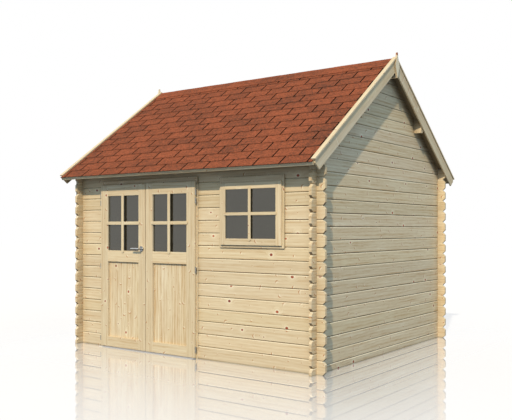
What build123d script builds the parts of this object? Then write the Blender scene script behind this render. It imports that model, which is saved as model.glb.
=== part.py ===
from build123d import *
from math import cos, radians, sin, tan
import os

# Log walls, in millimetres; the front faces -Y and the ground is z = 0
wall_width = 3000.0
wall_depth = 2690.0
wall_height = 1920.0
log_height = 120.0
log_thickness = 28.0
log_end = 84.0
log_end_chamfer = 28.0
groove_height = 14.0
groove_depth = 6.0
fit_gap = 0.3
cut_overrun = 40.0

# Roof layers, measured square to the slope from the underside of the boards
roof_pitch_degrees = 36.0
roof_board_thickness = 28.0
shingle_thickness = 8.0
ridge_cap_thickness = 4.0
ridge_cap_reach = 130.0
roof_slope_length = 1908.0
shingle_drip = 8.0
eave_board_thickness = 16.0
eave_board_height = 32.0

# Purlins along the ridge and half way down each slope
purlin_width = 45.0
purlin_height = 135.0
ridge_purlin_height = 150.0
purlin_spacing = 672.0

# Gable trim
barge_gap = 1.0
barge_thickness = 14.0
barge_height = 108.0
barge_nose_setback = 35.0
barge_tip_setback = 101.0
barge_nose_share = 0.255
verge_lath_width = 42.0
verge_lath_thickness = 13.0
verge_lath_overhang = 10.0
verge_lath_shortfall = 28.0
finial_thickness = 18.0
finial_width = 88.0
finial_height = 252.0
finial_shoulder_share = 0.5
finial_rise = 39.0
finial_tip_width = 10.0
finial_foot_width = 9.0
finial_flank_hollow = 5.0

# Frames round the door and the window
frame_width = 46.0
frame_head_height = 76.0
frame_proud = 15.0
frame_lap = 16.0
door_x = -486.0
door_frame_width = 1332.0
door_head_drop = 178.0
window_x = 814.5
window_frame_width = 723.0
window_frame_height = 649.0
window_head_drop = 201.0

# Door leaves
leaf_ground_gap = 10.0
leaf_gap = 5.0
meeting_gap = 8.0
leaf_flange_thickness = 20.0
leaf_tongue_thickness = 20.0
leaf_side_reveal = 13.0
leaf_top_reveal = 44.0
hinge_stile_width = 104.0
meeting_stile_width = 94.0
top_rail_height = 113.0
bottom_rail_height = 103.0
middle_rail_height = 116.0
leaf_glass_height = 569.0
pane_thickness = 4.0
pane_recess = 17.0
panel_thickness = 14.0
panel_recess = 22.0
rebate_depth = 8.0

# Hinges, each a knuckle on the leaf over a knuckle on the jamb
hinge_height_shares = (0.047, 0.497, 0.89, 0.938)
hinge_offset = 8.0
hinge_setback = 8.0
knuckle_radius = 7.0
knuckle_length = 27.0
knuckle_gap = 0.5
hinge_pin_radius = 4.0
hinge_pin_share = 0.8
hinge_pin_clearance = 0.25
hinge_stem_width = 7.0

# Lever handle on the left leaf
handle_height = 1041.0
lever_radius = 8.5
lever_length = 108.0
lever_standoff = 48.0
lever_end_chamfer = 2.5
rose_radius = 27.0
rose_thickness = 9.0
spindle_clearance = 0.4

# Fixed window sash
sash_side_reveal = 20.0
sash_foot_reveal = 24.0
sash_top_reveal = 55.0
sash_rail_width = 59.0
sash_flange_thickness = 18.0
sash_tongue_thickness = 18.0
sash_pane_recess = 10.0

# Places that follow from the sizes above
half_width = wall_width / 2
half_depth = wall_depth / 2
course_count = round(wall_height / log_height)
course = wall_height / course_count
front_y = -half_depth
pitch = radians(roof_pitch_degrees)
ridge_z = wall_height + (half_depth - log_thickness / 2) * tan(pitch)
roof_half_length = half_width + log_end + barge_gap
board_slope_length = roof_slope_length - shingle_drip - eave_board_thickness
shingle_top = roof_board_thickness + shingle_thickness
verge_top = shingle_top + verge_lath_thickness
barge_face_x = roof_half_length + barge_thickness
lath_face_x = barge_face_x + verge_lath_overhang
frame_face_y = front_y - frame_proud
frame_back_y = front_y + log_thickness + frame_proud
door_head_z = wall_height - door_head_drop
door_opening_z = door_head_z - frame_head_height
window_head_z = wall_height - window_head_drop
flange_back_y = frame_face_y - leaf_gap
leaf_face_y = flange_back_y - leaf_flange_thickness
leaf_back_y = flange_back_y + leaf_tongue_thickness
leaf_top_z = door_head_z - leaf_top_reveal
leaf_edge = door_frame_width / 2 - leaf_side_reveal
hinge_axis_y = leaf_face_y + hinge_setback
handle_x = door_x - (meeting_gap + meeting_stile_width) / 2


def slab(xs, ys, zs):
    """Box between two x, two y and two z values, given in any order."""
    middle = [(low + high) / 2 for low, high in (xs, ys, zs)]
    sides = [abs(high - low) for low, high in (xs, ys, zs)]
    return Pos(*middle) * Box(*sides)


def prism_x(points, x_low, x_high):
    """Outline of (y, z) points, extruded along x."""
    face = Plane.YZ.offset(x_low) * make_face(Polyline(*points, close=True))
    return extrude(face, amount=x_high - x_low, dir=(1, 0, 0))


def prism_y(points, y_low, y_high):
    """Outline of (x, z) points, extruded along y."""
    plane = Plane(origin=(0, y_low, 0), x_dir=(1, 0, 0), z_dir=(0, -1, 0))
    return extrude(plane * make_face(Polyline(*points, close=True)), amount=y_high - y_low, dir=(0, 1, 0))


def roof_point(distance, lift):
    """(y, z) on the front slope, at a distance down from the ridge and a lift square to the slope."""
    y = -distance * cos(pitch) - lift * sin(pitch)
    z = ridge_z - distance * sin(pitch) + lift * cos(pitch)
    return (y, z)


def roof_level(y, lift):
    """Height of a roof layer above a point, lift measured square to the slope."""
    return ridge_z - abs(y) * tan(pitch) + lift / cos(pitch)


def under_roof():
    """Everything below the underside of the roof boards."""
    reach = half_depth + log_end + cut_overrun
    eave = roof_level(reach, 0)
    points = [(-reach, 0), (reach, 0), (reach, eave), (0, ridge_z), (-reach, eave)]
    return prism_x(points, -roof_half_length, roof_half_length)


def stack_profile(seams, top):
    """Section through a stack of logs as (depth, z) points, with a V groove at each seam on the outer face."""
    outer = [(0, 0)]
    for seam in seams:
        low = seam - groove_height / 2
        high = seam + groove_height / 2
        outer += [(0, low), (groove_depth, seam), (0, high)]
    return outer + [(0, top), (log_thickness, top), (log_thickness, 0)]


def stack_outline(half_length, seams, top):
    """Side view of a stack of logs, whose ends have their corners cut off at 45 degrees."""
    neck = half_length - log_end_chamfer
    levels = [0, *seams, top]
    right = []
    for low, high in zip(levels, levels[1:]):
        whole_log = high - low > course * 3 / 4
        foot = [(neck, low), (half_length, low + log_end_chamfer)] if whole_log else [(half_length, low)]
        right += foot + [(half_length, high - log_end_chamfer)]
    right.append((neck, top))
    left = [(-across, z) for across, z in reversed(right)]
    return right + left


def long_wall():
    """Whole front wall, notched at each corner for the logs of the gable walls."""
    half_length = half_width + log_end
    seams = [course * step for step in range(1, course_count)]
    section = [(front_y + depth, z) for depth, z in stack_profile(seams, wall_height)]
    wall = prism_x(section, -half_length, half_length)
    wall &= prism_y(stack_outline(half_length, seams, wall_height), front_y, front_y + log_thickness)
    wall &= under_roof()
    notches = []
    for side in (-1, 1):
        for step in range(course_count + 1):
            notches.append(corner_notch((side * (half_width - log_thickness / 2), front_y), course * step))
    return wall - notches


def corner_notch(corner, level):
    """Half-log notch where a log crosses, centred on a height."""
    x, y = corner
    half_notch = log_thickness / 2 + fit_gap
    half_height = course / 4 + fit_gap / 2
    heights = (level - half_height, level + half_height)
    return slab((x - half_notch, x + half_notch), (y - half_notch, y + log_thickness + half_notch), heights)


def gable_wall():
    """Right gable wall, starting on half a log, notched at the corners and slotted for the purlins."""
    half_length = half_depth + log_end
    inner_x = half_width - log_thickness
    seams = [course * (step + 1 / 2) for step in range(int(ridge_z / course))]
    profile = [(half_width - depth, z) for depth, z in stack_profile(seams, ridge_z + course)]
    wall = prism_y(profile, -half_length, half_length)
    wall &= prism_x(stack_outline(half_length, seams, ridge_z + course), inner_x, half_width)
    wall &= under_roof()
    cuts = []
    for side in (-1, 1):
        y_low = side * (half_depth - log_thickness / 2) - log_thickness / 2 - fit_gap
        y_high = y_low + log_thickness + fit_gap * 2
        for step in range(course_count):
            middle = course * (step + 1 / 2)
            half_height = course / 4 + fit_gap / 2
            heights = (middle - half_height, middle + half_height)
            cuts.append(slab((inner_x - fit_gap, half_width + fit_gap), (y_low, y_high), heights))
    cuts += [purlin_block(y, height, fit_gap) for y, height in purlin_rows().values()]
    return wall - cuts


def purlin_rows():
    """Distance from the ridge line and height of each purlin."""
    return {
        "ridge_purlin": (0, ridge_purlin_height),
        "front_purlin": (-purlin_spacing, purlin_height),
        "back_purlin": (purlin_spacing, purlin_height),
    }


def purlin_block(y, height, clearance):
    """Square-sawn purlin blank, before its top is cut to the roof slope."""
    half = purlin_width / 2 + clearance
    low = roof_level(y, 0) - height - clearance
    half_length = half_width + log_end
    return slab((-half_length, half_length), (y - half, y + half), (low, ridge_z + cut_overrun))


def opening_block(x, width, z_low, z_high, clearance):
    """Space cut through the front wall for a frame that laps over its edges."""
    half = width / 2 - frame_lap - clearance
    return slab(
        (x - half, x + half),
        (front_y - cut_overrun, front_y + log_thickness + cut_overrun),
        (z_low, z_high - frame_lap - clearance),
    )


def door_opening(clearance):
    return opening_block(door_x, door_frame_width, -cut_overrun, door_head_z, clearance)


def window_opening(clearance):
    foot = window_head_z - window_frame_height + frame_lap + clearance
    return opening_block(window_x, window_frame_width, foot, window_head_z, clearance)


def wall_tongue(opening):
    """The front wall round an opening, as the groove that a frame has for it."""
    faces = (front_y - fit_gap, front_y + log_thickness + fit_gap)
    return slab((-half_width, half_width), faces, (-cut_overrun, wall_height)) - opening


def front_walls():
    """Front wall in three: beside the doorway on each side, and the logs that run on over it."""
    wall = long_wall() - [door_opening(0), window_opening(0)]
    split = int((door_head_z - frame_lap) / course) * course
    far = half_width + log_end + cut_overrun
    ys = (front_y - cut_overrun, front_y + log_thickness + cut_overrun)
    return {
        "front_wall_left": wall & slab((-far, door_x), ys, (0, split)),
        "front_wall_right": wall & slab((door_x, far), ys, (0, split)),
        "front_wall_top": wall & slab((-far, far), ys, (split, wall_height)),
    }


def roof_band(lift_low, lift_high, slope_length, x_low, x_high):
    """One layer of the front slope, from the ridge down to a square-cut end."""
    points = [
        (0, roof_level(0, lift_low)),
        (0, roof_level(0, lift_high)),
        roof_point(slope_length, lift_high),
        roof_point(slope_length, lift_low),
    ]
    return prism_x(points, x_low, x_high)


def eave_board():
    """Board nailed to the ends of the front roof boards, under the edge of the shingles."""
    low = roof_board_thickness - eave_board_height
    far = board_slope_length + eave_board_thickness
    points = [
        roof_point(board_slope_length, low),
        roof_point(board_slope_length, roof_board_thickness),
        roof_point(far, roof_board_thickness),
        roof_point(far, low),
    ]
    return prism_x(points, -roof_half_length, roof_half_length)


def barge_board():
    """Front right barge board, plumb at its lower end with the toe cut back to a point."""
    low = shingle_top - barge_height
    eave_y, _ = roof_point(roof_slope_length, shingle_top)
    nose_y = eave_y + barge_nose_setback
    tip_y = eave_y + barge_tip_setback
    nose_top = roof_level(nose_y, shingle_top)
    nose_drop = (nose_top - roof_level(nose_y, low)) * barge_nose_share
    points = [
        (0, roof_level(0, low)),
        (0, roof_level(0, shingle_top)),
        (nose_y, nose_top),
        (nose_y, nose_top - nose_drop),
        (tip_y, roof_level(tip_y, low)),
    ]
    return prism_x(points, roof_half_length, barge_face_x)


def verge_lath():
    """Front right cover lath, over the edge of the shingles and the barge board, notched round the finial."""
    length = roof_slope_length - verge_lath_shortfall
    return roof_band(shingle_top, verge_top, length, lath_face_x - verge_lath_width, lath_face_x) - finial()


def ridge_cap():
    """Strip of shingle folded over the ridge, between the cover laths."""
    half_length = lath_face_x - verge_lath_width - fit_gap
    top = shingle_top + ridge_cap_thickness
    front = roof_band(shingle_top, top, ridge_cap_reach, -half_length, half_length)
    return front + mirror(front, about=Plane.XZ)


def finial():
    """Board over the joint of the right barge boards, hollow above its shoulders and blunt at both ends."""
    tip_z = roof_level(0, verge_top) + finial_rise
    foot_z = tip_z - finial_height
    tip = (finial_tip_width / 2, tip_z)
    shoulder = (finial_width / 2, foot_z + finial_height * finial_shoulder_share)
    foot = (finial_foot_width / 2, foot_z)
    flank = Curve() + [SagittaArc(shoulder, tip, finial_flank_hollow), Line(shoulder, foot)]
    ends = [Line((-across, z), (across, z)) for across, z in (tip, foot)]
    outline = make_face(flank + mirror(flank, about=Plane.YZ) + ends)
    return extrude(Plane.YZ.offset(barge_face_x) * outline, amount=finial_thickness, dir=(1, 0, 0))


def door_jamb(side):
    """Post of the door frame, grooved over the end of the wall."""
    outer = door_x + side * door_frame_width / 2
    post = slab((outer, outer - side * frame_width), (frame_face_y, frame_back_y), (0, door_opening_z))
    return post - wall_tongue(door_opening(fit_gap))


def door_head():
    """Head of the door frame, grooved over the log above it."""
    half = door_frame_width / 2
    head = slab((door_x - half, door_x + half), (frame_face_y, frame_back_y), (door_opening_z, door_head_z))
    return head - wall_tongue(door_opening(fit_gap))


def leaf_x(side, distance):
    """x at a distance from the middle of the doorway, on the leaf of that side."""
    return door_x + side * distance


def leaf_openings():
    """Heights of the glazed opening and of the boarded panel below it."""
    glass_top = leaf_top_z - top_rail_height
    glass_foot = glass_top - leaf_glass_height
    return {
        "glass": (glass_foot, glass_top),
        "panel": (leaf_ground_gap + bottom_rail_height, glass_foot - middle_rail_height),
    }


def leaf_fill(side, kind, margin):
    """Pane or panel that fills its opening in a leaf and runs into the grooves by a margin."""
    low, high = leaf_openings()[kind]
    near = meeting_gap / 2 + meeting_stile_width - margin
    far = leaf_edge - hinge_stile_width + margin
    recess, thickness = {"glass": (pane_recess, pane_thickness), "panel": (panel_recess, panel_thickness)}[kind]
    face = leaf_face_y + recess
    xs = (leaf_x(side, near), leaf_x(side, far))
    return slab(xs, (face, face + thickness), (low - margin, high + margin))


def leaf_frame(side):
    """Stiles and rails of a leaf, with a flange over the door frame and grooves for glass and boards."""
    near = leaf_x(side, meeting_gap / 2)
    flange_xs = (near, leaf_x(side, leaf_edge))
    flange = slab(flange_xs, (leaf_face_y, flange_back_y), (leaf_ground_gap, leaf_top_z))
    tongue_xs = (near, leaf_x(side, door_frame_width / 2 - frame_width - leaf_gap))
    tongue = slab(tongue_xs, (flange_back_y, leaf_back_y), (leaf_ground_gap, door_opening_z - leaf_gap))
    left = leaf_x(side, meeting_gap / 2 + meeting_stile_width)
    right = leaf_x(side, leaf_edge - hinge_stile_width)
    ys = (leaf_face_y - cut_overrun, leaf_back_y + cut_overrun)
    cuts = []
    for kind, heights in leaf_openings().items():
        cuts.append(slab((left, right), ys, heights))
        cuts.append(leaf_fill(side, kind, rebate_depth))
    if side < 0:
        cuts.append(handle_bore(leaf_face_y - cut_overrun, leaf_back_y + cut_overrun))
    return flange + tongue - cuts


def cylinder_y(radius, y_low, y_high):
    """Round bar along y on the axis of the handle."""
    middle = (y_low + y_high) / 2
    return Pos(handle_x, middle, handle_height) * Rot(90, 0, 0) * Cylinder(radius, y_high - y_low)


def handle_bore(y_low, y_high):
    return cylinder_y(lever_radius + spindle_clearance, y_low, y_high)


def handle_roses():
    """Round plates on both faces of the left leaf, through which the spindle turns."""
    outer = cylinder_y(rose_radius, leaf_face_y - rose_thickness, leaf_face_y)
    inner = cylinder_y(rose_radius, leaf_back_y, leaf_back_y + rose_thickness)
    bore = handle_bore(leaf_face_y - cut_overrun, leaf_back_y + cut_overrun)
    return Compound([outer - bore, inner - bore])


def lever_handle():
    """Both levers and their spindle, one bar mitred at its corners and chamfered at its ends."""
    tip_x = handle_x - lever_length
    outer_y = leaf_face_y - lever_standoff
    inner_y = leaf_back_y + lever_standoff
    corners = [(tip_x, outer_y), (handle_x, outer_y), (handle_x, inner_y), (tip_x, inner_y)]
    path = Polyline(*[(x, y, handle_height) for x, y in corners])
    section = Plane(path @ 0, z_dir=path % 0) * Circle(lever_radius)
    bar = sweep(section, path=path, transition=Transition.RIGHT)
    return chamfer(bar.edges().group_by(Axis.X)[0], lever_end_chamfer)


def hinge_places(side):
    """Axis and heights of the hinges of one leaf."""
    x = leaf_x(side, leaf_edge + hinge_offset)
    height = leaf_top_z - leaf_ground_gap
    return [(x, leaf_ground_gap + height * share) for share in hinge_height_shares]


def upright(x, z_low, z_high, radius):
    """Round bar standing on the axis of the hinges."""
    return Pos(x, hinge_axis_y, (z_low + z_high) / 2) * Cylinder(radius, z_high - z_low)


def knuckle(x, z_low, stem):
    """Hinge knuckle with the stem that fixes it to the wood, extruded along the axis."""
    section = Circle(knuckle_radius) + stem
    return extrude(Pos(x, hinge_axis_y, z_low) * section, amount=knuckle_length)


def leaf_hinges(side):
    """Upper knuckles, each bored for its pin and fixed to the edge of the leaf."""
    stem = Pos(-side * hinge_offset / 2, 0) * Rectangle(hinge_offset, hinge_stem_width)
    knuckles = []
    for x, z in hinge_places(side):
        low = z + knuckle_gap / 2
        pin_top = low + knuckle_length * hinge_pin_share + hinge_pin_clearance
        bore = upright(x, low - knuckle_gap, pin_top, hinge_pin_radius + hinge_pin_clearance)
        knuckles.append(knuckle(x, low, stem) - bore)
    return Compound(knuckles)


def jamb_hinges(side):
    """Lower knuckles with their pins, fixed to the face of the jamb."""
    reach = frame_face_y - hinge_axis_y
    stem = Pos(0, reach / 2) * Rectangle(hinge_stem_width, reach)
    knuckles = []
    for x, z in hinge_places(side):
        low = z - knuckle_gap / 2 - knuckle_length
        pin_top = z + knuckle_gap / 2 + knuckle_length * hinge_pin_share
        knuckles.append(knuckle(x, low, stem) + upright(x, z - knuckle_length / 2, pin_top, hinge_pin_radius))
    return Compound(knuckles)


def window_casing():
    """Frame of the window, grooved all round over the edges of the wall."""
    half = window_frame_width / 2
    foot = window_head_z - window_frame_height
    ys = (frame_face_y, frame_back_y)
    block = slab((window_x - half, window_x + half), ys, (foot, window_head_z))
    inner = half - frame_width
    through = (frame_face_y - cut_overrun, frame_back_y + cut_overrun)
    heights = (foot + frame_width, window_head_z - frame_head_height)
    hole = slab((window_x - inner, window_x + inner), through, heights)
    return block - hole - wall_tongue(window_opening(fit_gap))


def sash_pane(margin):
    """Pane of the window with a margin that runs into the sash."""
    half = window_frame_width / 2 - sash_side_reveal - sash_rail_width + margin
    low = window_head_z - window_frame_height + sash_foot_reveal + sash_rail_width - margin
    high = window_head_z - sash_top_reveal - sash_rail_width + margin
    face = frame_face_y - sash_flange_thickness + sash_pane_recess
    return slab((window_x - half, window_x + half), (face, face + pane_thickness), (low, high))


def window_sash():
    """Sash closed against the face of the casing, with a groove for the pane."""
    foot = window_head_z - window_frame_height
    half = window_frame_width / 2 - sash_side_reveal
    low = foot + sash_foot_reveal
    high = window_head_z - sash_top_reveal
    face = frame_face_y - sash_flange_thickness
    back = frame_face_y + sash_tongue_thickness
    flange = slab((window_x - half, window_x + half), (face, frame_face_y), (low, high))
    inner = window_frame_width / 2 - frame_width - leaf_gap
    tongue_zs = (foot + frame_width + leaf_gap, window_head_z - frame_head_height - leaf_gap)
    tongue = slab((window_x - inner, window_x + inner), (frame_face_y, back), tongue_zs)
    light = half - sash_rail_width
    through = (face - cut_overrun, back + cut_overrun)
    hole_zs = (low + sash_rail_width, high - sash_rail_width)
    hole = slab((window_x - light, window_x + light), through, hole_zs)
    return flange + tongue - [hole, sash_pane(rebate_depth)]


def front_and_back(name, piece):
    """A piece of the front slope and its twin on the back slope."""
    return {f"front_{name}": piece, f"back_{name}": mirror(piece, about=Plane.XZ)}


def four_verges(name, piece):
    """A piece of the front right verge, repeated on the other three."""
    pieces = {}
    for end, whole in front_and_back(name, piece).items():
        pieces[f"right_{end}"] = whole
        pieces[f"left_{end}"] = mirror(whole, about=Plane.YZ)
    return pieces


def build_walls():
    gable = gable_wall()
    pieces = front_walls()
    pieces["back_wall"] = mirror(long_wall(), about=Plane.XZ)
    pieces["right_gable_wall"] = gable
    pieces["left_gable_wall"] = mirror(gable, about=Plane.YZ)
    return pieces


def build_roof():
    pieces = {}
    for name, (y, height) in purlin_rows().items():
        pieces[name] = purlin_block(y, height, 0) & under_roof()
    ends = (-roof_half_length, roof_half_length)
    pieces |= front_and_back("roof_boards", roof_band(0, roof_board_thickness, board_slope_length, *ends))
    shingles = roof_band(roof_board_thickness, shingle_top, roof_slope_length, *ends)
    pieces |= front_and_back("shingles", shingles)
    pieces |= front_and_back("eave_board", eave_board())
    pieces["ridge_cap"] = ridge_cap()
    pieces |= four_verges("barge_board", barge_board())
    pieces |= four_verges("verge_lath", verge_lath())
    pieces["right_finial"] = finial()
    pieces["left_finial"] = mirror(pieces["right_finial"], about=Plane.YZ)
    return pieces


def build_doors():
    margin = rebate_depth - fit_gap
    pieces = {"door_head": door_head()}
    for name, side in (("left", -1), ("right", 1)):
        pieces[f"{name}_door_jamb"] = door_jamb(side)
        pieces[f"{name}_jamb_hinges"] = jamb_hinges(side)
        pieces[f"{name}_leaf_frame"] = leaf_frame(side)
        pieces[f"{name}_leaf_glass"] = leaf_fill(side, "glass", margin)
        pieces[f"{name}_leaf_panel"] = leaf_fill(side, "panel", margin)
        pieces[f"{name}_leaf_hinges"] = leaf_hinges(side)
    pieces["handle_roses"] = handle_roses()
    pieces["lever_handle"] = lever_handle()
    return pieces


def build_window():
    margin = rebate_depth - fit_gap
    return {"window_casing": window_casing(), "window_sash": window_sash(), "window_glass": sash_pane(margin)}


def main():
    os.makedirs("parts", exist_ok=True)
    pieces = build_walls() | build_roof() | build_doors() | build_window()
    for name, piece in pieces.items():
        export_step(piece, f"parts/{name}.step")


main()
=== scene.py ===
import math

import bmesh
import bpy
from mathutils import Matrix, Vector


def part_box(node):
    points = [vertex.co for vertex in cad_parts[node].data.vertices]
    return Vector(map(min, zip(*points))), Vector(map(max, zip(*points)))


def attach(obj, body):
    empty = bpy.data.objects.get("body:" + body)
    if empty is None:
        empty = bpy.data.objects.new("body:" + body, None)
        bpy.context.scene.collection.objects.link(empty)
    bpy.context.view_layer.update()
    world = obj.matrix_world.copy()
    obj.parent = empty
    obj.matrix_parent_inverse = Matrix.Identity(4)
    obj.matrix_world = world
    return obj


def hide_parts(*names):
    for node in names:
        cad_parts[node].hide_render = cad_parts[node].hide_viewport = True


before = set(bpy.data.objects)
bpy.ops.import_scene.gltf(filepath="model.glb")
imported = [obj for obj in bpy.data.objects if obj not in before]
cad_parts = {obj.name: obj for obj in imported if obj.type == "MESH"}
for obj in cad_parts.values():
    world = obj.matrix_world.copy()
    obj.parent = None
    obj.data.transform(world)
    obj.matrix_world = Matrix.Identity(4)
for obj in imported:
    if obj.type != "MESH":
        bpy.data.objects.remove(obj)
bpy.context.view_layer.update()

# Roof, in metres; distances run down the slope from the ridge and lifts are square to it
PITCH = math.radians(36.0)
BOARD_LIFT = 0.028
SHINGLE_LIFT = 0.036
SLOPE = 1.908
BOARD_SLOPE = 1.884
ROW_START = 1.9155
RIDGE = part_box("front_roof_boards")[1].z - BOARD_LIFT / math.cos(PITCH)
ROOF_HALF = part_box("front_roof_boards")[1].x
ROWS = 15
EXPOSURE = 0.134
LAP = 0.02
ROW_FALL = 0.004
RIDGE_GAP = 0.02
TAB = 0.278
TAB_PHASE = 0.982
TAB_SLOT = 0.016
TAB_THICKNESS = 0.0022
TAB_LEAST = 0.03
SHADE_STRIP_SETBACK = 0.004
SHADE_STRIP_FOOT = 0.001
SHADE_STRIP_DROPS = (0.0014, 0.0012)
CAP_PIECES = 14
CAP_REACH = 0.13
CAP_RISES = (0.0032, 0.004)
CAP_JOINT = 0.001
BOARD_WIDTH = 0.0932
BOARD_GAP = 0.0004
BOARD_VEE = 0.005

# Door leaves and window sash
HINGE_STILE = 0.104
MEETING_STILE = 0.094
TOP_RAIL = 0.113
MIDDLE_RAIL = 0.116
BOTTOM_RAIL = 0.103
LEAF_GLASS = 0.569
LEAF_FLANGE = 0.02
LEAF_SIDE_INSET = 0.038
LEAF_TOP_INSET = 0.037
SASH_RAIL = 0.059
SASH_FLANGE = 0.018
SASH_INSETS = (0.031, 0.027, 0.026)
PANEL_BOARDS = 5
PANEL_GAP = 0.0001
PANEL_VEE = (0.002, 0.0012)
STICK_BEVEL = 0.0015
BAR_DEPTH = 0.008
BAR_BEVEL = 0.002
BAR_NOSE = 0.75
NOSE_STEPS = 8
LEAF_BAR = 0.033
LEAF_BAR_LAPS = (0.019, 0.021)
SASH_BAR = 0.028
SASH_BAR_LAPS = (0.013, 0.02)

# Logs, joinery, the wood's own figure and the reach of its painted corner shade
COURSE = 0.12
SEAM = 0.004
CASING_STICK = 0.046
TIP_KNOT_DROP = 0.012
TIP_KNOT_RADIUS = 0.022
KNOTS_PER_METRE = (3.6, 4.8)
KNOT_RADIUS = 0.0145
CURLS_PER_METRE = (5.2, 8.3)
CURL_LENGTHS = (0.003, 0.026)
CURL_STROKES = ((0.0, 0.006), (0.011, 0.009))
CORNER_SHADE_REACH = 0.12


def tint(red, green, blue, alpha=1.0):
    """Linear colour of a screen colour given in 0 to 255."""
    shares = [level / 255 for level in (red, green, blue)]
    linear = [s / 12.92 if s <= 0.04045 else ((s + 0.055) / 1.055) ** 2.4 for s in shares]
    return (*linear, alpha)


class Nodes:
    """Short ways to add shader nodes to one tree."""

    def __init__(self, tree):
        self.tree = tree
        tree.nodes.clear()

    def add(self, kind, inputs=None, **settings):
        made = self.tree.nodes.new("ShaderNode" + kind)
        for key, value in settings.items():
            setattr(made, key, value)
        for key, value in (inputs or {}).items():
            if isinstance(value, bpy.types.NodeSocket):
                self.tree.links.new(value, made.inputs[key])
            else:
                made.inputs[key].default_value = value
        return made

    def math(self, operation, *values):
        return self.add("Math", dict(enumerate(values)), operation=operation).outputs[0]

    def ease(self, value, start, end, low=0.0, high=1.0):
        """Value eased from low at start to high at end."""
        inputs = {"Value": value, "From Min": start, "From Max": end, "To Min": low, "To Max": high}
        return self.add("MapRange", inputs, interpolation_type="SMOOTHSTEP").outputs[0]

    def blend(self, share, first, second, mode="MIX"):
        made = self.add("Mix", data_type="RGBA", blend_type=mode)
        for socket, value in zip((made.inputs[0], made.inputs[6], made.inputs[7]), (share, first, second)):
            if isinstance(value, bpy.types.NodeSocket):
                self.tree.links.new(value, socket)
            else:
                socket.default_value = value
        return made.outputs[2]

    def vector(self, *parts):
        return self.add("CombineXYZ", dict(enumerate(parts))).outputs[0]

    def noise(self, vector, detail, roughness=0.5):
        inputs = {"Vector": vector, "Scale": 1.0, "Detail": detail, "Roughness": roughness}
        return self.add("TexNoise", inputs).outputs["Fac"]

    def ramp(self, value, *stops):
        made = self.add("ValToRGB", {"Fac": value})
        elements = made.color_ramp.elements
        elements[0].position, elements[0].color = stops[0]
        elements[1].position, elements[1].color = stops[-1]
        for position, color in stops[1:-1]:
            elements.new(position).color = color
        return made.outputs["Color"]

    def output(self, shader):
        self.add("OutputMaterial", {"Surface": shader})


def new_material(name):
    material = bpy.data.materials.new(name)
    material.use_nodes = True
    return material, Nodes(material.node_tree)


def scatter(n, along, across, counts, start, side):
    """Spots strewn over a board, counts to the metre along and across it: place from the nearest spot in metres, and
    two chances of that spot."""
    first = n.math("MULTIPLY_ADD", along, counts[0], start)
    second = n.math("MULTIPLY_ADD", across, counts[1], side)
    cells = n.add("TexVoronoi", {"Vector": n.vector(first, second, 0.0), "Scale": 1.0}, voronoi_dimensions="2D")
    spot = n.add("SeparateXYZ", {0: cells.outputs["Position"]}).outputs
    chance = n.add("SeparateXYZ", {0: cells.outputs["Color"]}).outputs
    u = n.math("DIVIDE", n.math("SUBTRACT", first, spot[0]), counts[0])
    v = n.math("DIVIDE", n.math("SUBTRACT", second, spot[1]), counts[1])
    return u, v, chance[0], chance[1]


def knots(n, along, across, start, side):
    """Round knots: the shares of their core, of the pale ring and of the wide halo, and a chance for the hue."""
    u, v, size, shade = scatter(n, along, across, KNOTS_PER_METRE, start, side)
    radius = n.ease(size, 0.35, 0.9, 0.0, KNOT_RADIUS)
    lengthwise = n.math("MULTIPLY", n.math("MULTIPLY", u, u), 0.6)
    spread = n.math("SQRT", n.math("ADD", lengthwise, n.math("MULTIPLY", v, v)))
    reach = n.math("DIVIDE", spread, n.math("MAXIMUM", radius, 0.0001))
    core, ring, halo = (n.ease(reach, near, far, 1.0, 0.0) for near, far in ((0.6, 1.05), (1.0, 1.8), (0.9, 4.0)))
    return core, ring, halo, shade


def curls(n, along, across, start, side):
    """Short leaning curls in the grain: the shares of a brown stroke and of the gleam beside it."""
    u, v, size, lean = scatter(n, along, across, CURLS_PER_METRE, n.math("ADD", side, 3.7), start)
    angle = n.math("MULTIPLY_ADD", lean, 2.4, -1.2)
    cosine, sine = n.math("COSINE", angle), n.math("SINE", angle)
    thin = n.math("SUBTRACT", n.math("MULTIPLY", u, cosine), n.math("MULTIPLY", v, sine))
    tall = n.math("ADD", n.math("MULTIPLY", u, sine), n.math("MULTIPLY", v, cosine))
    thin = n.math("SUBTRACT", thin, n.math("MULTIPLY", n.math("MULTIPLY", tall, tall), 30.0))
    length = n.ease(size, 0.2, 1.0, *CURL_LENGTHS)
    lengthwise = n.math("POWER", n.math("DIVIDE", tall, length), 2.0)
    strokes = []
    for shift, width in CURL_STROKES:
        crosswise = n.math("POWER", n.math("DIVIDE", n.math("SUBTRACT", thin, shift), width), 2.0)
        strokes.append(n.ease(n.math("SQRT", n.math("ADD", crosswise, lengthwise)), 0.45, 1.15, 1.0, 0.0))
    return strokes


def painted_corner_shade(n, color, height, corner_shade_share, ends):
    """Colour with painted shade in corners, from ambient occlusion, down to a given share where it is deepest; less
    of it near the floor and at the far ends of logs.
    """
    occlusion_shade = n.add("AmbientOcclusion", {"Distance": CORNER_SHADE_REACH}, samples=6).outputs["AO"]
    occlusion_shade = n.ease(occlusion_shade, 0.25, 0.95, corner_shade_share, 1.0)
    # The painted corner shade is tinted warm.
    warm = n.vector(occlusion_shade, n.math("POWER", occlusion_shade, 1.04), n.math("POWER", occlusion_shade, 1.14))
    share = n.math("MAXIMUM", n.ease(height, 0.02, 0.2), n.ease(height, 0.006, 0.014, 1.0, 0.0))
    if ends:
        along, clear = ends
        share = n.math("MULTIPLY", share, n.ease(n.math("ABSOLUTE", along), clear, clear + 0.06, 1.0, 0.5))
    return n.blend(share, color, n.blend(1.0, color, warm, "MULTIPLY"))


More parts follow.
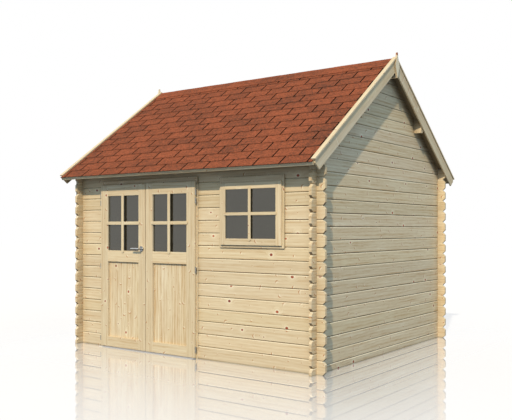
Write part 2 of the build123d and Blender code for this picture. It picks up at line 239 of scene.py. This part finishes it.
def wood(name, grain, stack=None, seam=0.0, members=None, tip_knot=None, corner_shade_share=0.3, bold=1.0, laid=False, clear=None):
    """Planed softwood with streaks, knots and curls, with painted light and shade laid into its colour.

    grain is the axis of the fibres, or the slope that they run down; stack gives the axis, height and offset of the
    logs in a wall, and seam the height of the groove between them, with a pale painted highlight just beneath each
    seam and painted shade on the faces that look down; members gives the middle and half width inside which the grain
    of a frame lies across; tip_knot the place and radius of one more knot; shut the share of the colour that is left
    where the painted corner shade is deepest, and clear the distance along the logs beyond which that painted shade
    is halved; bold the strength of the figure; laid is for boards with painted shade on their faces that look down.
    Upright pieces get a painted highlight on their faces that look sideways.
    """
    material, n = new_material(name)
    coordinates = n.add("TexCoord")
    place = coordinates.outputs["Object"]
    facing = coordinates.outputs["Normal"]
    if grain in ("front", "back"):
        turn = {"Angle": -PITCH if grain == "front" else PITCH}
        place = n.add("VectorRotate", {"Vector": place, **turn}, rotation_type="X_AXIS").outputs[0]
        facing = n.add("VectorRotate", {"Vector": facing, **turn}, rotation_type="X_AXIS").outputs[0]
    axes = n.add("SeparateXYZ", {0: place}).outputs
    normals = n.add("SeparateXYZ", {0: facing}).outputs
    order = {"x": (0, 2, 1), "y": (1, 2, 0), "z": (2, 0, 1), "front": (1, 0, 2), "back": (1, 0, 2)}[grain]
    along, across, depth = (axes[i] for i in order)
    end_on = n.math("ABSOLUTE", normals[order[0]])
    if members:
        middle, half = members
        inside = n.math("LESS_THAN", n.math("ABSOLUTE", n.math("SUBTRACT", axes[0], middle)), half)
        along = n.add("Mix", {"Factor": inside, 2: axes[2], 3: axes[0]}).outputs[0]
        across = n.add("Mix", {"Factor": inside, 2: axes[0], 3: axes[2]}).outputs[0]
        depth = axes[1]
    if stack:
        axis, step, offset = stack
        level = n.math("DIVIDE", n.math("ADD", axes["xyz".index(axis)], offset), step)
        chance = n.math("ADD", n.math("FLOOR", level), 0.5)
    else:
        chance = n.math("MULTIPLY", n.add("NewGeometry").outputs["Random Per Island"], 917.0)
    draw = n.add("TexWhiteNoise", {"W": chance}, noise_dimensions="1D")
    luck = n.add("SeparateXYZ", {0: draw.outputs["Color"]}).outputs

    start = n.math("MULTIPLY", luck[0], 31.0)
    side = n.math("MULTIPLY", luck[1], 17.0)
    core, ring, halo, shade = knots(n, along, across, start, side)
    mark, gleam = curls(n, along, across, start, side)
    streak = n.noise(n.vector(
        n.math("MULTIPLY_ADD", along, 1.3, start),
        n.math("MULTIPLY_ADD", across, 26.0, n.math("MULTIPLY_ADD", halo, 0.5, side)),
        n.math("MULTIPLY", depth, 26.0)), 4.0, 0.62)
    fibre = n.noise(n.vector(
        n.math("MULTIPLY_ADD", along, 9.0, start),
        n.math("MULTIPLY_ADD", across, 150.0, side),
        n.math("MULTIPLY", depth, 150.0)), 3.0, 0.6)
    sway = n.noise(n.vector(
        n.math("MULTIPLY_ADD", along, 0.9, side),
        n.math("MULTIPLY_ADD", across, 6.0, start), n.math("MULTIPLY", depth, 6.0)), 2.0)
    rings = n.math("MULTIPLY_ADD", across, 210.0, n.math("MULTIPLY", n.math("ADD", sway, halo), 16.0))
    rings = n.math("MULTIPLY_ADD", n.math("SINE", rings), 0.5, 0.5)
    figure = n.math("MULTIPLY_ADD", streak, 0.55, n.math("MULTIPLY", fibre, 0.36))
    figure = n.math("MULTIPLY_ADD", rings, 0.09, figure)
    figure = n.math("MULTIPLY_ADD", figure, bold, 0.5 - 0.5 * bold)

    color = n.ramp(
        figure, (0.3, tint(202, 169, 124)), (0.45, tint(220, 196, 155)),
        (0.58, tint(228, 207, 168)), (0.74, tint(238, 222, 187)))
    color = n.blend(n.math("MULTIPLY", gleam, 0.5), color, tint(248, 235, 204))
    color = n.blend(n.math("MULTIPLY", mark, 0.8), color, tint(182, 112, 54))
    color = n.blend(n.math("MULTIPLY", halo, 0.4), color, tint(242, 225, 186))
    color = n.blend(n.math("MULTIPLY", ring, 0.4), color, tint(252, 240, 210))
    rust = n.blend(shade, tint(126, 24, 4), tint(186, 88, 34))
    color = n.blend(n.math("MULTIPLY", core, 0.95), color, rust)
    if laid:
        # Painted shade on the faces of laid boards that look down.
        color = n.blend(n.ease(normals[2], -0.3, -0.8, 0.0, 0.5), color, tint(118, 88, 56))
    if grain == "z":
        # Painted highlight on the faces of upright pieces that look sideways.
        side_highlight = n.ease(n.math("ABSOLUTE", normals[0]), 0.6, 0.9, 0.0, 0.5)
        color = n.blend(side_highlight, color, tint(255, 241, 208))
    ends = n.ease(end_on, 0.75, 0.95, 0.0, 0.3)
    color = n.blend(ends, color, tint(204, 170, 122))
    tone = n.math("MULTIPLY_ADD", luck[2], 0.1, 0.95)
    warm = n.math("MULTIPLY_ADD", luck[0], 0.05, n.math("SUBTRACT", tone, 0.025))
    color = n.blend(1.0, color, n.vector(tone, tone, warm), "MULTIPLY")
    if seam:
        off = n.math("SUBTRACT", n.math("FRACT", n.math("ADD", level, 0.5)), 0.5)
        rise = n.math("MULTIPLY", off, step)
        # Painted highlight: a pale line just beneath each seam.
        seam_highlight = n.ease(rise, -seam * 2.4, -seam * 1.2)
        seam_highlight = n.math("MULTIPLY", seam_highlight, n.ease(rise, -seam, -seam * 0.2, 0.7, 0.0))
        color = n.blend(seam_highlight, color, tint(252, 240, 208))
        # Painted shade on faces that look down, the upper faces of the grooves, mottled and weaker high on the wall.
        groove_shade = n.math("MULTIPLY", n.ease(sway, 0.35, 0.65, 0.5, 0.78), n.ease(axes[2], 1.5, 1.68, 1.0, 0.4))
        color = n.blend(n.math("MULTIPLY", n.ease(normals[2], -0.5, -0.64), groove_shade), color, tint(84, 58, 36))
    if tip_knot:
        spot, reach = tip_knot
        far = n.add("VectorMath", {0: coordinates.outputs["Object"], 1: spot}, operation="DISTANCE").outputs["Value"]
        color = n.blend(n.ease(far, reach * 0.6, reach, 0.9, 0.0), color, tint(140, 62, 26))
    height = n.add("SeparateXYZ", {0: coordinates.outputs["Object"]}).outputs[2]
    # Painted corner shade from ambient occlusion.
    color = painted_corner_shade(n, color, height, corner_shade_share, (along, clear) if clear else None)
    relief = n.math("MULTIPLY_ADD", fibre, 0.6, n.math("MULTIPLY", rings, 0.2))
    bump = n.add("Bump", {"Height": relief, "Strength": 0.25, "Distance": 0.0006}).outputs[0]
    rough = n.ease(figure, 0.2, 0.8, 0.72, 0.58)
    n.output(n.add("BsdfPrincipled", {
        "Base Color": color, "Roughness": rough, "Specular IOR Level": 0.25, "Normal": bump}).outputs[0])
    return material


def shingle(name, back=False):
    """Red mineral-surfaced bitumen, a little different on each tab, with painted shade along the edge of each row at
    the laps.
    """
    material, n = new_material(name)
    place = n.add("TexCoord").outputs["Object"]
    turn = {"Vector": place, "Angle": PITCH if back else -PITCH}
    axes = n.add("SeparateXYZ", {0: n.add("VectorRotate", turn, rotation_type="X_AXIS").outputs[0]}).outputs
    run = n.math("MULTIPLY_ADD", axes[1], 1.0 if back else -1.0, RIDGE * math.sin(PITCH))
    chance = n.math("MULTIPLY", n.add("NewGeometry").outputs["Random Per Island"], 917.0)
    draw = n.add("TexWhiteNoise", {"W": chance}, noise_dimensions="1D")
    luck = n.add("SeparateXYZ", {0: draw.outputs["Color"]}).outputs
    cloud = n.noise(n.vector(n.math("MULTIPLY", axes[0], 1.6), n.math("MULTIPLY", run, 2.4), 0.0), 3.0)
    patch = n.noise(n.vector(
        n.math("MULTIPLY", axes[0], 13.0), n.math("MULTIPLY", run, 34.0), n.math("MULTIPLY", luck[1], 9.0)), 4.0, 0.7)
    grit = n.add("TexVoronoi", {"Vector": place, "Scale": 85.0})
    speck = n.add("SeparateXYZ", {0: grit.outputs["Color"]}).outputs[0]
    mix = n.math("MULTIPLY_ADD", luck[0], 0.1, n.math("MULTIPLY", cloud, 0.34))
    mix = n.math("MULTIPLY_ADD", patch, 0.5, n.math("MULTIPLY_ADD", speck, 0.26, mix))
    row = n.math("FRACT", n.math("DIVIDE", n.math("SUBTRACT", ROW_START, run), EXPOSURE))
    # Painted shade on either side of each row's lower edge.
    lap_shade = n.ease(n.math("ABSOLUTE", n.math("SUBTRACT", row, 0.5)), 0.3, 0.5, 0.0, 0.07)
    mix = n.math("SUBTRACT", mix, n.math("MULTIPLY", lap_shade, n.math("ADD", patch, 0.35)))
    color = n.ramp(
        mix, (0.3, tint(78, 53, 42)), (0.46, tint(111, 66, 47)), (0.6, tint(136, 75, 49)), (0.78, tint(161, 88, 58)))
    bump = n.add("Bump", {"Height": speck, "Strength": 0.5, "Distance": 0.001}).outputs[0]
    n.output(n.add("BsdfPrincipled", {
        "Base Color": color, "Roughness": 0.9, "Specular IOR Level": 0.05, "Normal": bump}).outputs[0])
    return material


def painted_cut_shade(name):
    """Dark sheet whose colour is painted shade, for the shaded row beneath that shows in the cuts between the tabs.
    """
    material, n = new_material(name)
    place = n.add("TexCoord").outputs["Object"]
    grit = n.noise(n.add("VectorMath", {0: place, 1: (90, 90, 90)}, operation="MULTIPLY").outputs[0], 3.0)
    color = n.ramp(grit, (0.3, tint(20, 17, 13)), (0.7, tint(34, 28, 22)))
    n.output(n.add("BsdfPrincipled", {"Base Color": color, "Roughness": 0.9, "Specular IOR Level": 0.0}).outputs[0])
    return material


def glass(name):
    """Pane with a dark base colour that is painted shade for the unlit room behind it; it mostly mirrors the bright
    surroundings.
    """
    material, n = new_material(name)
    place = n.add("TexCoord").outputs["Object"]
    haze = n.noise(n.add("VectorMath", {0: place, 1: (3, 3, 3)}, operation="MULTIPLY").outputs[0], 2.0)
    # Painted shade: the dark base colour stands for the unlit room behind the pane.
    color = n.ramp(haze, (0.3, tint(42, 40, 32)), (0.7, tint(52, 49, 40)))
    rough = n.ease(haze, 0.3, 0.7, 0.015, 0.03)
    n.output(n.add("BsdfPrincipled", {
        "Base Color": color, "Roughness": rough, "Alpha": 0.8, "IOR": 2.0,
        "Specular Tint": (1.0, 0.98, 0.9, 1.0)}).outputs[0])
    return material


def metal(name, dark, light, roughness, under=1.0):
    """Bare metal; under is the share of its brightness left on faces that look down, as painted shade in place of a
    darker reflection from beneath.
    """
    material, n = new_material(name)
    coordinates = n.add("TexCoord")
    place = coordinates.outputs["Object"]
    wear = n.noise(n.add("VectorMath", {0: place, 1: (60, 60, 200)}, operation="MULTIPLY").outputs[0], 3.0)
    color = n.ramp(wear, (0.3, dark), (0.7, light))
    # Painted shade on faces that look down, standing in for a darker reflection.
    facing = n.add("SeparateXYZ", {0: coordinates.outputs["Normal"]}).outputs[2]
    share = n.ease(facing, -0.15, 0.35, under, 1.0)
    color = n.blend(1.0, color, n.vector(share, share, share), "MULTIPLY")
    rough = n.ease(wear, 0.3, 0.7, roughness * 0.8, roughness * 1.25)
    n.output(n.add("BsdfPrincipled", {"Base Color": color, "Metallic": 1.0, "Roughness": rough}).outputs[0])
    return material


class Solids:
    """Prisms gathered into one mesh."""

    def __init__(self):
        self.verts = []
        self.faces = []

    def prism(self, outline, low, high, place):
        """Outline of (u, v) points swept along w from low to high; place turns (u, v, w) into a point."""
        first, count = len(self.verts), len(outline)
        for w in (low, high):
            self.verts += [place(u, v, w) for u, v in outline]
        self.faces.append([first + i for i in range(count)])
        self.faces.append([first + count + i for i in range(count)])
        for i in range(count):
            j = (i + 1) % count
            self.faces.append([first + i, first + j, first + count + j, first + count + i])

    def box(self, xs, ys, zs):
        (x0, x1), (y0, y1) = sorted(xs), sorted(ys)
        self.prism([(x0, y0), (x1, y0), (x1, y1), (x0, y1)], *sorted(zs), lambda u, v, w: (u, v, w))

    def piece(self, name, material, slot, body="shed", bevel=0.0, replaces=()):
        mesh = bpy.data.meshes.new(name)
        mesh.from_pydata(self.verts, [], self.faces)
        shape = bmesh.new()
        shape.from_mesh(mesh)
        bmesh.ops.recalc_face_normals(shape, faces=shape.faces)
        shape.to_mesh(mesh)
        shape.free()
        mesh.materials.append(material)
        made = bpy.data.objects.new(name, mesh)
        bpy.context.scene.collection.objects.link(made)
        if bevel:
            edges = made.modifiers.new("edges", "BEVEL")
            edges.width = bevel
            edges.segments = 2
            edges.limit_method = "ANGLE"
        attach(made, body)
        if replaces:
            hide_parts(*replaces)
        return made


def slope_place(side):
    """Turns (distance, lift, x) on a slope into a point; side is -1 on the front slope."""
    def place(distance, lift, x):
        out = distance * math.cos(PITCH) + lift * math.sin(PITCH)
        return (x, side * out, RIDGE - distance * math.sin(PITCH) + lift * math.cos(PITCH))
    return place


def build_shingles(side, name, material, shade_in_cuts):
    """Lapped rows of tabs, each over a dark strip whose colour is painted shade where it shows in the cuts; every
    second row is moved by half a tab.
    """
    place = slope_place(side)
    tabs, shade_strips = Solids(), Solids()
    for row in range(ROWS):
        edge = ROW_START - row * EXPOSURE
        low = min(edge, SLOPE)
        high = max(edge - EXPOSURE - LAP, RIDGE_GAP)
        top, upper = SHINGLE_LIFT, SHINGLE_LIFT - ROW_FALL
        # The strip's dark colour is painted shade where it shows in the cuts.
        strip_low = low - SHADE_STRIP_SETBACK
        strip = [
            (strip_low, BOARD_LIFT + SHADE_STRIP_FOOT), (strip_low, top - SHADE_STRIP_DROPS[0]),
            (high, upper - SHADE_STRIP_DROPS[1]), (high, BOARD_LIFT)]
        shade_strips.prism(strip, -ROOF_HALF + SHADE_STRIP_FOOT, ROOF_HALF - SHADE_STRIP_FOOT, place)
        tab = [(low, top - TAB_THICKNESS), (low, top), (high, upper), (high, upper - TAB_THICKNESS)]
        first = TAB_PHASE - (TAB / 2 if row % 2 else 0.0)
        cuts = [first + TAB * k for k in range(-12, 12) if abs(first + TAB * k) < ROOF_HALF - TAB_LEAST]
        ends = [-ROOF_HALF, *sorted(cuts), ROOF_HALF]
        for left, right in zip(ends, ends[1:]):
            near = left + (TAB_SLOT / 2 if left > -ROOF_HALF else 0.0)
            far = right - (TAB_SLOT / 2 if right < ROOF_HALF else 0.0)
            tabs.prism(tab, near, far, place)
    shade_strips.piece(f"{name}_strips", shade_in_cuts, "shingle", replaces=[name])
    tabs.piece(f"{name}_tabs", material, "shingle", replaces=[name])


def build_ridge_cap(material):
    """Folded pieces of shingle along the ridge, every second one a little higher."""
    cap = Solids()
    low, high = (corner.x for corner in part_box("ridge_cap"))
    length = (high - low) / CAP_PIECES
    for step in range(CAP_PIECES):
        near = low + step * length
        rise = SHINGLE_LIFT + CAP_RISES[step % 2]
        front = [slope_place(-1)(CAP_REACH, lift, 0.0)[1:] for lift in (SHINGLE_LIFT, rise)]
        back = [(-y, z) for y, z in reversed(front)]
        crest, fold = (RIDGE + lift / math.cos(PITCH) for lift in (rise, SHINGLE_LIFT))
        outline = [*front, (0.0, crest), *back, (0.0, fold)]
        cap.prism(outline, near + CAP_JOINT, near + length - CAP_JOINT, lambda u, v, w: (w, u, v))
    cap.piece("ridge_cap_pieces", material, "shingle", replaces=["ridge_cap"])


def build_roof_boards(side, name, material):
    """Boards that run down the slope, with a V joint between them on the underside."""
    boards = Solids()
    count = round(2 * ROOF_HALF / BOARD_WIDTH)
    width = 2 * ROOF_HALF / count
    slope = slope_place(side)

    def place(x, lift, distance):
        return slope(distance if distance > 0 else -lift * math.tan(PITCH), lift, x)

    for step in range(count):
        left = -ROOF_HALF + step * width + BOARD_GAP
        right = left + width - 2 * BOARD_GAP
        outline = [
            (left, BOARD_LIFT), (right, BOARD_LIFT), (right, BOARD_VEE),
            (right - BOARD_VEE, 0.0), (left + BOARD_VEE, 0.0), (left, BOARD_VEE)]
        boards.prism(outline, 0.0, BOARD_SLOPE, place)
    boards.piece(f"{name}_laid", material, "roof_wood", replaces=[name])


def bar(solids, xs, zs, ys, round_ends):
    """Flat bar in the plane of a window; round_ends names the ends that are rounded off."""
    (x0, x1), (z0, z1) = xs, zs
    upright = z1 - z0 > x1 - x0
    half = ((x1 - x0) if upright else (z1 - z0)) / 2
    long0, long1 = (z0, z1) if upright else (x0, x1)
    middle = (x0 + x1) / 2 if upright else (z0 + z1) / 2
    nose = half * BAR_NOSE
    outline = []
    for end, sign in ((long1, 1), (long0, -1)):
        if sign in round_ends:
            for step in range(NOSE_STEPS + 1):
                angle = math.pi * step / NOSE_STEPS
                reach = end - sign * nose + sign * nose * math.sin(angle)
                outline.append((reach, middle + sign * half * math.cos(angle)))
        else:
            outline += [(end, middle + sign * half), (end, middle - sign * half)]
    if upright:
        outline = [(across, up) for up, across in outline]
    solids.prism(outline, *ys, lambda u, v, w: (u, w, v))


def build_cross(name, body, xs, zs, ys, width, laps, woods):
    """Glazing cross over a light: an upright bar and a cross bar in two halves, all lapped over the frame."""
    middle_x, middle_z = sum(xs) / 2, sum(zs) / 2
    half = width / 2
    side_lap, end_lap = laps
    upright = Solids()
    bar(upright, (middle_x - half, middle_x + half), (zs[0] - end_lap, zs[1] + end_lap), ys, (1, -1))
    upright.piece(f"{name}_upright", woods["z"], "joinery_wood", body, bevel=BAR_BEVEL)
    halves = Solids()
    bar(halves, (xs[0] - side_lap, middle_x - half), (middle_z - half, middle_z + half), ys, (-1,))
    bar(halves, (middle_x + half, xs[1] + side_lap), (middle_z - half, middle_z + half), ys, (1,))
    halves.piece(f"{name}_across", woods["x"], "joinery_wood", body, bevel=BAR_BEVEL)


def build_leaf(side, woods):
    """Stiles, rails, panel boards and glazing bars of one door leaf."""
    body = f"{side}_leaf"
    node = f"{side}_leaf_frame"
    low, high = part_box(node)
    sign = -1 if side == "left" else 1
    edge, meeting = (low.x, high.x) if sign < 0 else (high.x, low.x)
    face, flange, back = low.y, low.y + LEAF_FLANGE, high.y
    inner_edge = edge - sign * HINGE_STILE
    inner_meeting = meeting + sign * MEETING_STILE
    glass_top = high.z - TOP_RAIL
    glass_foot = glass_top - LEAF_GLASS
    panel_top, panel_foot = glass_foot - MIDDLE_RAIL, low.z + BOTTOM_RAIL
    tongue_top = high.z - LEAF_TOP_INSET

    stiles = Solids()
    stiles.box((edge, inner_edge), (face, flange), (low.z, high.z))
    stiles.box((meeting, inner_meeting), (face, flange), (low.z, high.z))
    stiles.box((edge - sign * LEAF_SIDE_INSET, inner_edge), (flange, back), (low.z, tongue_top))
    stiles.box((meeting, inner_meeting), (flange, back), (low.z, tongue_top))
    stiles.piece(f"{side}_leaf_stiles", woods["z"], "joinery_wood", body, bevel=STICK_BEVEL, replaces=[node])

    rails = Solids()
    spans = (inner_edge, inner_meeting)
    rails.box(spans, (face, flange), (glass_top, high.z))
    rails.box(spans, (flange, back), (glass_top, tongue_top))
    rails.box(spans, (face, back), (panel_top, glass_foot))
    rails.box(spans, (face, back), (low.z, panel_foot))
    rails.piece(f"{side}_leaf_rails", woods["x"], "joinery_wood", body, bevel=STICK_BEVEL, replaces=[node])

    panel = Solids()
    panel_low, panel_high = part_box(f"{side}_leaf_panel")
    left, right = sorted(spans)
    width = (right - left) / PANEL_BOARDS
    vee, deep = PANEL_VEE
    for step in range(PANEL_BOARDS):
        x0 = left + step * width + PANEL_GAP
        x1 = x0 + width - 2 * PANEL_GAP
        y0, y1 = panel_low.y, panel_high.y
        outline = [(x0, y0 + deep), (x0 + vee, y0), (x1 - vee, y0), (x1, y0 + deep), (x1, y1), (x0, y1)]
        panel.prism(outline, panel_foot, panel_top, lambda u, v, w: (u, v, w))
    panel.piece(f"{side}_leaf_boards", woods["panel"], "joinery_wood", body, replaces=[f"{side}_leaf_panel"])

    zs = (glass_foot, glass_top)
    for end, ys in (("outer", (face - BAR_DEPTH, face)), ("inner", (back, back + BAR_DEPTH))):
        build_cross(f"{side}_{end}_bars", body, (left, right), zs, ys, LEAF_BAR, LEAF_BAR_LAPS, woods)


def build_window(woods):
    """Stiles, rails and glazing bars of the fixed sash."""
    low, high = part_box("window_sash")
    flange = low.y + SASH_FLANGE
    side_inset, foot_inset, top_inset = SASH_INSETS
    light_x = (low.x + SASH_RAIL, high.x - SASH_RAIL)
    light_z = (low.z + SASH_RAIL, high.z - SASH_RAIL)
    stiles = Solids()
    for outer, inner, sign in ((low.x, light_x[0], 1), (high.x, light_x[1], -1)):
        stiles.box((outer, inner), (low.y, flange), (low.z, high.z))
        stiles.box((outer + sign * side_inset, inner), (flange, high.y), (low.z + foot_inset, high.z - top_inset))
    stiles.piece("window_stiles", woods["z"], "joinery_wood", bevel=STICK_BEVEL, replaces=["window_sash"])
    rails = Solids()
    rails.box(light_x, (low.y, flange), (low.z, light_z[0]))
    rails.box(light_x, (flange, high.y), (low.z + foot_inset, light_z[0]))
    rails.box(light_x, (low.y, flange), (light_z[1], high.z))
    rails.box(light_x, (flange, high.y), (light_z[1], high.z - top_inset))
    rails.piece("window_rails", woods["x"], "joinery_wood", bevel=STICK_BEVEL, replaces=["window_sash"])
    for end, ys in (("outer", (low.y - BAR_DEPTH, low.y)), ("inner", (high.y, high.y + BAR_DEPTH))):
        build_cross(f"window_{end}_bars", "shed", light_x, light_z, ys, SASH_BAR, SASH_BAR_LAPS, woods)


def paint(material, *names):
    for name in names:
        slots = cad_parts[name].data.materials
        slots.clear()
        slots.append(material)


def build_looks():
    front_logs = wood("front_logs", "x", ("z", COURSE, 0.0), SEAM, corner_shade_share=0.4, clear=1.4)
    gable_logs = wood("gable_logs", "y", ("z", COURSE, COURSE / 2), SEAM, corner_shade_share=0.42, bold=1.35, clear=1.25)
    beams = wood("beams", "x")
    woods = {
        "x": wood("rail_wood", "x", corner_shade_share=0.85), "z": wood("stile_wood", "z", corner_shade_share=0.85),
        "panel": wood("panel_wood", "z", corner_shade_share=0.7, bold=1.7)}
    slopes = {side: wood(f"{side}_slope_wood", side, corner_shade_share=0.65, laid=True) for side in ("front", "back")}
    trims = {side: wood(f"{side}_trim_wood", side, corner_shade_share=0.8) for side in ("front", "back")}
    red = {"front": shingle("front_shingle"), "back": shingle("back_shingle", True)}
    shade_in_cuts = painted_cut_shade("shade_in_cuts")
    panes = glass("pane_glass")
    steel = metal("hinge_zinc", tint(120, 118, 112), tint(170, 168, 162), 0.35)
    chrome = metal("handle_polish", tint(226, 230, 232), tint(244, 247, 250), 0.14, 0.12)

    paint(front_logs, "front_wall_left", "front_wall_right", "front_wall_top", "back_wall")
    paint(gable_logs, "left_gable_wall", "right_gable_wall")
    paint(beams, "ridge_purlin", "front_purlin", "back_purlin", "front_eave_board", "back_eave_board", "door_head")
    for end, material in trims.items():
        for side in ("left", "right"):
            paint(material, f"{side}_{end}_barge_board", f"{side}_{end}_verge_lath")
    paint(woods["z"], "left_door_jamb", "right_door_jamb", "left_finial")
    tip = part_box("right_finial")[1]
    spot = (tip.x, 0.0, tip.z - TIP_KNOT_DROP)
    paint(wood("knotted_finial", "z", tip_knot=(spot, TIP_KNOT_RADIUS)), "right_finial")
    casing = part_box("window_casing")
    middle = (casing[0].x + casing[1].x) / 2
    members = (middle, casing[1].x - middle - CASING_STICK)
    paint(wood("casing_wood", "z", members=members, corner_shade_share=0.55), "window_casing")
    paint(panes, "left_leaf_glass", "right_leaf_glass", "window_glass")
    paint(steel, "left_jamb_hinges", "right_jamb_hinges", "left_leaf_hinges", "right_leaf_hinges")
    paint(chrome, "handle_roses", "lever_handle")

    for side, sign in (("front", -1), ("back", 1)):
        build_shingles(sign, f"{side}_shingles", red[side], shade_in_cuts)
        build_roof_boards(sign, f"{side}_roof_boards", slopes[side])
    build_ridge_cap(red["front"])
    for side in ("left", "right"):
        build_leaf(side, woods)
    build_window(woods)


def build_floor():
    """White floor that mirrors the shed to the camera alone, fainter away from it and under the door."""
    bpy.ops.mesh.primitive_plane_add(size=80.0, location=(0.0, 0.0, -0.0005))
    floor = bpy.context.object
    floor.name = "floor"
    material, n = new_material("floor_white")
    path = n.add("LightPath").outputs
    seen = n.math("MAXIMUM", path["Is Camera Ray"], path["Is Glossy Ray"])
    color = n.blend(seen, (0.11, 0.135, 0.17, 1.0), (0.4, 0.4, 0.4, 1.0))
    plain = n.add("BsdfDiffuse", {"Color": color}).outputs[0]
    glow = n.add("Emission", {"Color": (0.595, 0.55, 0.495, 1.0), "Strength": seen}).outputs[0]
    matt = n.add("AddShader", {0: plain, 1: glow}).outputs[0]
    place = n.add("SeparateXYZ", {0: n.add("NewGeometry").outputs["Position"]}).outputs
    gaps = []
    for axis, edge, fade in ((0, 1.5, 1.7), (1, 1.35, 1.25)):
        beyond = n.math("MAXIMUM", n.math("SUBTRACT", n.math("ABSOLUTE", place[axis]), edge), 0.0)
        gaps.append(n.math("MULTIPLY", beyond, fade))
    gap = n.add("VectorMath", {0: n.vector(*gaps, 0.0)}, operation="LENGTH").outputs["Value"]
    mirror = n.add("BsdfGlossy", {"Color": (1.0, 1.0, 1.0, 1.0), "Roughness": 0.02}).outputs[0]
    share = n.math("MAXIMUM", n.math("MULTIPLY_ADD", gap, -0.2, 0.78), 0.0)
    door_low, door_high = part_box("left_leaf_frame")[0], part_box("right_leaf_frame")[1]
    along = n.math("COMPARE", place[0], (door_low.x + door_high.x) / 2, (door_high.x - door_low.x) / 2)
    sill = n.math("MULTIPLY", along, n.math("COMPARE", place[1], door_low.y + 0.01, 0.06))
    share = n.math("MULTIPLY", share, n.math("MULTIPLY_ADD", sill, -0.4, 1.0))
    share = n.math("MULTIPLY", share, path["Is Camera Ray"])
    n.output(n.add("MixShader", {0: share, 1: matt, 2: mirror}).outputs[0])
    floor.data.materials.append(material)
    return floor


def build_sun():
    """Low sun from the front right."""
    sun = bpy.data.objects.new("sun", bpy.data.lights.new("sun", "SUN"))
    bpy.context.scene.collection.objects.link(sun)
    bearing, height = math.radians(19.0), math.radians(38.8)
    toward = Vector((math.sin(bearing) * math.cos(height), -math.cos(bearing) * math.cos(height), math.sin(height)))
    sun.rotation_mode = "QUATERNION"
    sun.rotation_quaternion = toward.to_track_quat("Z", "Y")
    sun.data.energy = 2.93
    sun.data.color = (1.0, 0.873, 0.7)
    sun.data.angle = math.radians(1.0)
    return sun


def build_world():
    """Pale blue fill, which the camera, metal and glass see as a white backdrop."""
    world = bpy.data.worlds.new("studio")
    world.use_nodes = True
    n = Nodes(world.node_tree)
    path = n.add("LightPath").outputs
    direct = n.math("MAXIMUM", path["Is Glossy Ray"], path["Is Transmission Ray"])
    direct = n.math("MAXIMUM", path["Is Camera Ray"], direct)
    fill = n.add("Background", {"Color": (0.505, 0.695, 0.91, 1.0), "Strength": 0.93}).outputs[0]
    white = n.add("Background", {"Color": (1.0, 1.0, 1.0, 1.0), "Strength": 1.0}).outputs[0]
    n.add("OutputWorld", {"Surface": n.add("MixShader", {0: direct, 1: fill, 2: white}).outputs[0]})
    bpy.context.scene.world = world


def build_camera():
    """Camera at the photo's angle, level, with the shift that its framing needs."""
    camera = bpy.data.objects.new("camera", bpy.data.cameras.new("camera"))
    bpy.context.scene.collection.objects.link(camera)
    camera.location = (4.716, -6.652, 1.247)
    camera.rotation_euler = (math.radians(90.0), 0.0, math.radians(36.42))
    camera.data.lens = 51.14
    camera.data.sensor_width = 36.0
    camera.data.shift_x = 0.0108
    camera.data.shift_y = 0.0358
    bpy.context.scene.camera = camera
    return camera


build_looks()
floor, sun, camera = build_floor(), build_sun(), build_camera()
build_world()
bpy.context.scene.view_settings.view_transform = "Standard"
